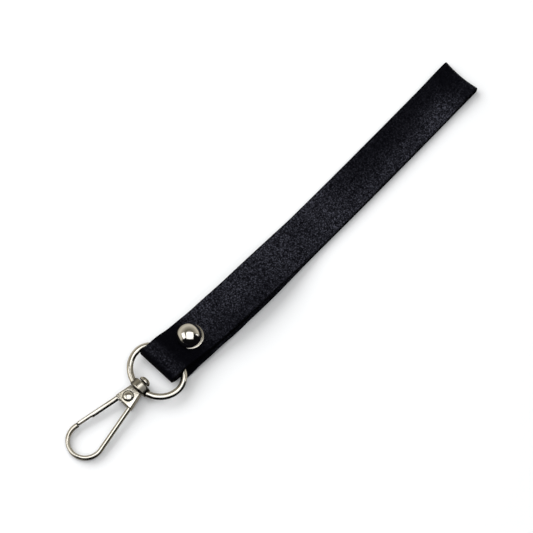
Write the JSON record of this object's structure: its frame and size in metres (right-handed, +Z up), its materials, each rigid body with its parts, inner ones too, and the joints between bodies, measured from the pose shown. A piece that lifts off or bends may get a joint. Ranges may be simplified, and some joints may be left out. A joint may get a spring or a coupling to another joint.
{
  "type": "wristlet keychain",
  "caption": "Flat leather wrist loop with a domed cap rivet, an oval swivel eye and a spring-gate snap hook that carries keys.",
  "frame": {"origin": "centre of the bounding box's underside, on the surface that the flattened strap lies on", "axes": "+X from the hook along the strap to its far fold, +Y to the left of that, +Z up through the flat of the strap"},
  "size_m": [0.23, 0.0262, 0.0121],
  "materials": {
    "leather": "black pebbled leather, painted edges, soft sheen",
    "nickel": "polished nickel plate",
    "spring_steel": "drawn spring wire"
  },
  "bodies": {
    "strap": {"strap_loop": "leather", "strap_tail": "leather", "rivet_dome": "nickel", "rivet_socket": "nickel", "rivet_post": "nickel", "rivet_back_cap": "nickel"},
    "tab": {"ring_tab": "leather"},
    "eye": {"swivel_eye": "nickel"},
    "hook": {"swivel_pin": "nickel", "hook_body": "nickel", "gate_hinge_pin": "nickel", "gate_spring": "spring_steel"},
    "gate": {"gate_lever": "nickel"}
  },
  "joints": [
    {"name": "tab_flex", "type": "hinge", "parent": "strap", "child": "tab", "pos_m": [-0.0539, -0.0007, 0.00483], "axis": [0, 1, 0], "range_deg": [0, 60]},
    {"name": "ring_turn", "type": "hinge", "parent": "tab", "child": "eye", "pos_m": [-0.06678, 0, 0.00442], "axis": [-0.0585, 0, 0.9983], "range_deg": [-28, 11]},
    {"name": "swivel_spin", "type": "hinge", "parent": "eye", "child": "hook", "pos_m": [-0.08281, 0.0004, 0.00348], "axis": [0.9983, 0, 0.0585], "continuous": true},
    {"name": "gate_open", "type": "hinge", "parent": "hook", "child": "gate", "pos_m": [-0.08281, 0.0004, 0.00348], "axis": [-0.0585, 0, 0.9983], "range_deg": [0, 28], "stiffness_Nm_per_rad": 0.02, "springref_deg": -20.05, "deforming": ["gate_spring"]}
  ]
}
